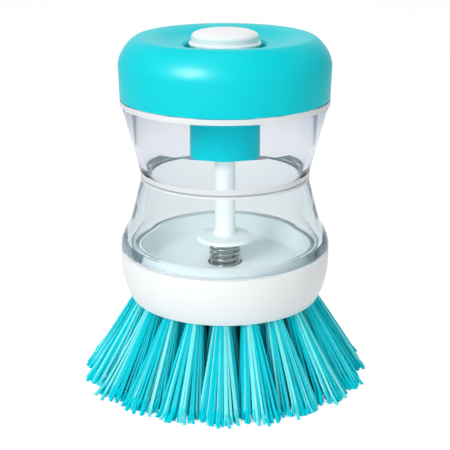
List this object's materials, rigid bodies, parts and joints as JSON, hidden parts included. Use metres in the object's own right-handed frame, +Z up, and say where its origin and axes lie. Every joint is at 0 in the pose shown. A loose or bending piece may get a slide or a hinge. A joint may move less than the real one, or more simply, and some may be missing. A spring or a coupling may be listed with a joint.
{
  "type": "soap dispensing palm dish brush",
  "caption": "Palm dish brush: teal screw cap with a white push button, clear waisted soap reservoir with a sprung plunger valve, white collar and flared teal bristle tufts.",
  "frame": {"origin": "centre of the circle of bristle tips, on the surface that the brush stands on", "axes": "+Z up the axis of the brush, from the bristles to the button; -Y is the side seen in the picture"},
  "size_m": [0.0812, 0.0812, 0.1],
  "materials": {
    "cap_teal": "satin soft-touch shell, teal",
    "core_teal": "moulded plastic, teal",
    "white_plastic": "satin white moulding",
    "silicone": "soft translucent seal",
    "spring_steel": "drawn stainless wire",
    "anchor_steel": "rolled strip",
    "clear_plastic": "polished clear moulding",
    "cup_plastic": "pale translucent moulding",
    "bristle": "crimped nylon filament, teal"
  },
  "bodies": {
    "base": {"upper_reservoir": "clear_plastic", "lower_reservoir": "clear_plastic", "floor_cup": "cup_plastic", "base_gasket": "silicone", "base_collar": "white_plastic", "brush_block": "white_plastic", "tuft_anchors": "anchor_steel", "return_spring": "spring_steel", "outer_tuft_01": "bristle", "outer_tuft_02": "bristle", "outer_tuft_03": "bristle", "outer_tuft_04": "bristle", "outer_tuft_05": "bristle", "outer_tuft_06": "bristle", "outer_tuft_07": "bristle", "outer_tuft_08": "bristle", "outer_tuft_09": "bristle", "outer_tuft_10": "bristle", "outer_tuft_11": "bristle", "outer_tuft_12": "bristle", "outer_tuft_13": "bristle", "outer_tuft_14": "bristle", "outer_tuft_15": "bristle", "outer_tuft_16": "bristle", "outer_tuft_17": "bristle", "outer_tuft_18": "bristle", "outer_tuft_19": "bristle", "outer_tuft_20": "bristle", "middle_tuft_01": "bristle", "middle_tuft_02": "bristle", "middle_tuft_03": "bristle", "middle_tuft_04": "bristle", "middle_tuft_05": "bristle", "middle_tuft_06": "bristle", "middle_tuft_07": "bristle", "middle_tuft_08": "bristle", "middle_tuft_09": "bristle", "middle_tuft_10": "bristle", "middle_tuft_11": "bristle", "middle_tuft_12": "bristle", "middle_tuft_13": "bristle", "inner_tuft_01": "bristle", "inner_tuft_02": "bristle", "inner_tuft_03": "bristle", "inner_tuft_04": "bristle", "inner_tuft_05": "bristle", "inner_tuft_06": "bristle"},
    "cap_seal": {"cap_gasket": "silicone"},
    "cap": {"cap_cover": "cap_teal", "cap_core": "core_teal", "rod_seal": "silicone", "rod_guide_bush": "white_plastic"},
    "button": {"push_button": "white_plastic"},
    "plunger": {"plunger_rod": "white_plastic", "valve_plug": "silicone"}
  },
  "joints": [
    {"name": "cap_lift", "type": "slide", "parent": "base", "child": "cap_seal", "axis": [0, 0, 1], "range_m": [0, 0.00321]},
    {"name": "cap_turn", "type": "hinge", "parent": "cap_seal", "child": "cap", "pos_m": [0, 0, 0.09], "axis": [0, 0, 1], "range_deg": [0, 360]},
    {"name": "button_press", "type": "slide", "parent": "cap", "child": "button", "axis": [0, 0, -1], "range_m": [0, 0.0025]},
    {"name": "plunger_slide", "type": "slide", "parent": "base", "child": "plunger", "axis": [0, 0, -1], "range_m": [0, 0.0025], "stiffness_N_per_m": 1500, "springref_m": -0.001, "deforming": ["return_spring"]}
  ],
  "couplings": [
    {"joint": "cap_lift", "follows": "cap_turn", "m_per_rad": 0.0005093},
    {"joint": "plunger_slide", "follows": "button_press", "ratio": 1}
  ]
}
